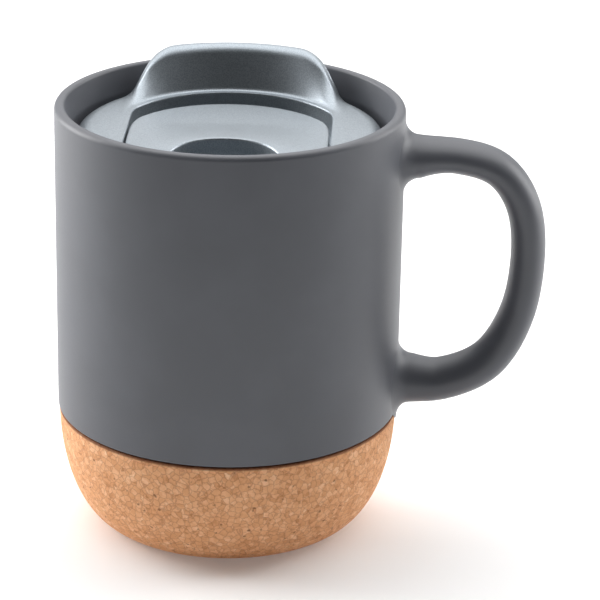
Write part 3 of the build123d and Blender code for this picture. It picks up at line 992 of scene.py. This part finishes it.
@dataclass
class Shutter:
    """The sliding shutter with its thumb dish and legs."""

    plan: LidPlan
    material: bpy.types.Material
    points: int = 320
    plate: float = 1.8
    skirt: float = 1.4
    flush: float = 0.1
    floor_gap: float = 0.3
    dish_depth: float = 4.0
    swell: float = 0.8
    swell_start: float = 1.4
    swell_length: float = 14.0
    middle_shift: float = 5.5
    boss_gap: float = 1.12
    boss_back: float = 3.6
    leg_beside: float = 3.5
    leg_setback: float = 10.0
    leg_half_width: float = 1.5
    leg_half_length: float = 2.5
    barb_half_width: float = 2.0
    barb_height: float = 0.9

    @property
    def top(self) -> float:
        """Height of the flat top."""
        return self.plan.deck - self.flush

    @property
    def low(self) -> float:
        """Height of the skirt's lower edge."""
        return self.plan.pocket_floor + self.floor_gap

    def swelling(self, x: float, y: float) -> float:
        """How far the grip stands above the flat top at a point."""
        crease = self.swell_start - x * x / 150.0
        behind = limit((crease - y) / self.swell_length)
        beside = 1.0 - ease((abs(x) - 9.0) / 14.0)
        ahead = 1.0 - ease((-y - 15.0) / 13.0)
        return self.swell * (0.55 * behind + 0.45 * ease(behind)) * beside * ahead

    def skin(self) -> list[Place]:
        """The loops of the plate, from the dish over the top and down to the underside."""
        plan = self.plan
        centre = plan.dish_y + self.middle_shift
        top, low = self.top, self.low
        floor = top - self.dish_depth
        rims: dict[float, tuple[float, float]] = {}

        def rim(angle: float) -> tuple[float, float]:
            """Distances from the dish's centre to the dish's and the shutter's edge."""
            if angle not in rims:
                rims[angle] = (radius_inside(plan.in_dish, centre, angle),
                               radius_inside(plan.in_shutter, centre, angle))
            return rims[angle]

        def at(radius: Callable[[float, float], float], height: float, swell: float) -> Place:
            """A loop from its distance between the two edges, and its height."""
            def place(angle: float) -> tuple[float, float, float]:
                """The point at an angle."""
                r = radius(*rim(angle))
                x, y = r * math.cos(angle), centre + r * math.sin(angle)
                return x, y, height + swell * self.swelling(x, y)
            return place

        def dish(out: float, height: float, swell: float = 0.0) -> Place:
            """A loop that follows the dish."""
            return at(lambda inner, outer: inner + out, height, swell)

        def edge(inset: float, height: float, swell: float = 1.0) -> Place:
            """A loop that follows the shutter's edge."""
            return at(lambda inner, outer: outer - inset, height, swell)

        def between(share: float) -> Place:
            """A loop of the top, between the two edges."""
            return at(lambda inner, outer: mix(inner + 0.5, max(outer - 0.8, inner + 0.55),
                                               share), top, 1.0)

        places = [dish(-1.6, floor), dish(-0.75, floor + 0.12), dish(-0.3, floor + 0.45),
                  dish(-0.12, floor + 1.0), dish(0.0, floor + 2.0), dish(0.0, top - 0.5, 1.0),
                  dish(0.06, top - 0.24, 1.0), dish(0.24, top - 0.06, 1.0)]
        places += [between(share) for share in spread(25)]
        places += [edge(0.53, top - 0.05), edge(0.24, top - 0.22), edge(0.06, top - 0.5),
                   edge(0.0, top - 0.85), edge(0.0, low + 0.2, 0.0), edge(0.2, low, 0.0),
                   edge(self.skirt - 0.2, low, 0.0)]

        def under(height_share: float, out: float) -> Place:
            """A loop of the underside's hollow, which fades out where there is no room."""
            def place(angle: float) -> tuple[float, float, float]:
                """The point at an angle."""
                inner, outer = rim(angle)
                room = outer - self.skirt - inner - plan.dish_wall
                depth = (self.plate_low - low) * limit(room) * height_share
                near = min(inner + plan.dish_wall, outer - 0.3)
                r = mix(near, max(outer - self.skirt, near), out)
                return r * math.cos(angle), centre + r * math.sin(angle), low + depth
            return place

        places += [under(0.0, 1.0), under(1.0, 0.98), under(1.0, 0.02), under(0.0, 0.0)]
        return places

    @property
    def plate_low(self) -> float:
        """Height of the plate's underside."""
        return self.top - self.plate

    def make(self) -> bpy.types.Object:
        """The shutter as one closed skin, with its legs and boss."""
        solid = Solid("shutter_plate")
        solid.rings(self.points, self.skin(), True, True)
        low, high = (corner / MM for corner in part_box("shutter_gasket"))
        root = self.plate_low + 0.1
        solid.block((low.x, low.y, self.plan.pocket_floor + self.boss_gap),
                    (high.x, high.y - self.boss_back, root), 0.15)
        barb_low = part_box("lid_shutter")[0].z / MM
        leg_y = self.plan.shutter_back - self.leg_setback
        front, back = leg_y - self.leg_half_length, leg_y + self.leg_half_length
        for side in (-1, 1):
            x = side * (high.x + self.leg_beside)
            for half, start, end in ((self.leg_half_width, barb_low + 0.05, root),
                                     (self.barb_half_width, barb_low,
                                      barb_low + self.barb_height)):
                solid.block((x - half, front, start), (x + half, back, end), 0.2)
        return solid.done("shutter", self.material, ["lid_shutter"],
                          crease=32.0)


@dataclass
class Seal:
    """The silicone ring round the lid's skirt."""

    material: bpy.types.Material
    tip: float = field(default_factory=lambda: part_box("lid_seal")[1].y / MM)
    low: float = field(default_factory=lambda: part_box("lid_seal")[0].z / MM)
    high: float = field(default_factory=lambda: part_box("lid_seal")[1].z / MM)
    stand_out: float = 3.9
    core: float = 1.3
    lips: int = 3
    rake: float = 0.9
    tip_half: float = 0.25
    root_under: float = 0.6
    root_over: float = 0.55

    def make(self) -> bpy.types.Object:
        """The ring, with soft raked lips."""
        inner = self.tip - self.stand_out
        outer = inner + self.core
        pitch = (self.high - self.low) / self.lips
        corners = [(inner, self.high, 0.2), (inner, self.low, 0.2), (outer, self.low, 0.4)]
        for index in range(self.lips):
            root = self.low + (index + 0.5) * pitch - self.rake / 2
            tip = root + self.rake
            corners += [(outer, root - self.root_under, 0.5),
                        (self.tip, tip - self.tip_half, 0.22),
                        (self.tip, tip + self.tip_half, 0.22),
                        (outer, root + self.root_over, 0.35)]
        corners += [(outer, self.high, 0.4), (inner, self.high, 0.2)]
        start = (inner, (self.low + self.high) / 2, 0.0)
        solid = Solid("seal_ring")
        solid.turn(rounded([start, *corners[1:-1], corners[0], start], 4), steps=192)
        return solid.done("seal", self.material, ["lid_seal"])


# ------------------------------------------------------------------ light and camera

@dataclass(frozen=True)
class Panel:
    """A soft rectangular studio light."""

    name: str
    place: tuple[float, float, float]
    aim: tuple[float, float, float]
    size: tuple[float, float]
    watts: float

    def make(self) -> None:
        """Adds the light."""
        data = bpy.data.lights.new(self.name, "AREA")
        data.shape = "RECTANGLE"
        data.size, data.size_y = self.size
        data.energy = self.watts
        lamp = bpy.data.objects.new(self.name, data)
        lamp.location = self.place
        lamp.rotation_euler = (Vector(self.aim) - Vector(self.place)).to_track_quat(
            "-Z", "Y").to_euler()
        lamp.visible_camera = False
        bpy.context.scene.collection.objects.link(lamp)


@dataclass
class Studio:
    """The pale floor, the lights, the world and the camera."""

    floor_size: float = 6.0
    floor_glow: float = 0.13
    world: float = 0.05
    lens: float = 160.89
    distance: float = 0.6131
    height: float = 0.2950
    azimuth: float = 3.3
    pan: float = -1.666
    pitch: float = 21.307
    roll: float = 1.09

    def make_floor(self) -> None:
        """A pale seamless floor."""
        bm = bmesh.new()
        bmesh.ops.create_grid(bm, x_segments=2, y_segments=2, size=self.floor_size / 2)
        mesh = bpy.data.meshes.new("floor")
        bm.to_mesh(mesh)
        bm.free()
        graph = Graph("pale_floor")
        grain = graph.noise(60.0, 2.0)
        tone = graph.blend(grain, full((0.86, 0.86, 0.86)), full((0.88, 0.88, 0.88)))
        mesh.materials.append(graph.surface({
            "Base Color": tone, "Roughness": 0.9, "Specular IOR Level": 0.1,
            "Emission Color": full((1.0, 1.0, 1.0)), "Emission Strength": self.floor_glow}))
        floor = bpy.data.objects.new("floor", mesh)
        bpy.context.scene.collection.objects.link(floor)

    def make_lights(self) -> None:
        """Soft panels above, behind and at both sides, and an even world."""
        panels = [
            Panel("overhead", (0.0, 0.6, 1.3), (0.0, 0.3, 0.0), (2.2, 1.6), 34.0),
            Panel("back", (0.0, 2.2, 0.95), (0.0, 0.0, 0.08), (3.0, 1.1), 13.0),
            Panel("left", (-1.2, 0.5, 0.5), (0.0, 0.0, 0.06), (0.9, 1.0), 24.0),
            Panel("right", (1.15, 0.62, 0.5), (0.0, 0.0, 0.06), (0.7, 1.0), 12.5),
        ]
        for panel in panels:
            panel.make()
        world = bpy.data.worlds.new("studio")
        world.use_nodes = True
        back = world.node_tree.nodes["Background"]
        back.inputs["Color"].default_value = (1.0, 1.0, 1.0, 1.0)
        back.inputs["Strength"].default_value = self.world
        bpy.context.scene.world = world
        bpy.context.scene.view_settings.view_transform = "Standard"

    def make_camera(self) -> None:
        """A long lens that looks down at the mug from its front."""
        turn = math.radians(self.azimuth)
        pan, pitch = math.radians(self.pan), math.radians(self.pitch)
        ahead = Vector((math.sin(pan) * math.cos(pitch), math.cos(pan) * math.cos(pitch),
                        -math.sin(pitch)))
        right = ahead.cross(Vector((0, 0, 1))).normalized()
        up = right.cross(ahead)
        roll = math.radians(self.roll)
        right, up = (math.cos(roll) * right + math.sin(roll) * up,
                     math.cos(roll) * up - math.sin(roll) * right)
        data = bpy.data.cameras.new("camera")
        data.lens = self.lens
        data.sensor_width = 36.0
        camera = bpy.data.objects.new("camera", data)
        axes = Matrix((right, up, -ahead)).transposed().to_4x4()
        spot = Vector((self.distance * math.sin(turn), -self.distance * math.cos(turn),
                       self.height))
        camera.matrix_world = Matrix.Translation(spot) @ axes
        bpy.context.scene.collection.objects.link(camera)
        bpy.context.scene.camera = camera


# ------------------------------------------------------------------ the whole scene

def dress(node: str, slot: Finish, material: bpy.types.Material) -> None:
    """Gives a CAD node that stays as it is its finish."""
    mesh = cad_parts[node].data
    mesh.materials.clear()
    mesh.materials.append(material)
    LOG.info("%s keeps its CAD shape, slot %s", node, slot.value)


def main() -> None:
    """Builds the mug, the studio and the camera."""
    logging.basicConfig(level=logging.INFO, format="%(name)s: %(message)s")
    glaze = MattGlaze().make()
    pearl = PearlPlastic().make()
    silicone = Moulded("silicone", paint(120, 122, 126), 0.6).make()
    inner = Moulded("inner_plastic", paint(140, 144, 148), 0.45).make()
    adhesive = Moulded("cured_adhesive", paint(120, 66, 40), 0.35).make()

    Ceramic(glaze).make()
    CorkBase(Cork().make()).make()
    plan = LidPlan()
    LidBody(plan, pearl).make()
    Shutter(plan, pearl).make()
    Seal(silicone).make()
    dress("base_adhesive", Finish.ADHESIVE, adhesive)
    dress("shutter_gasket", Finish.SILICONE, silicone)
    dress("shutter_retainer", Finish.INNER, inner)

    studio = Studio()
    studio.make_floor()
    studio.make_lights()
    studio.make_camera()


if __name__ == "__main__":
    main()
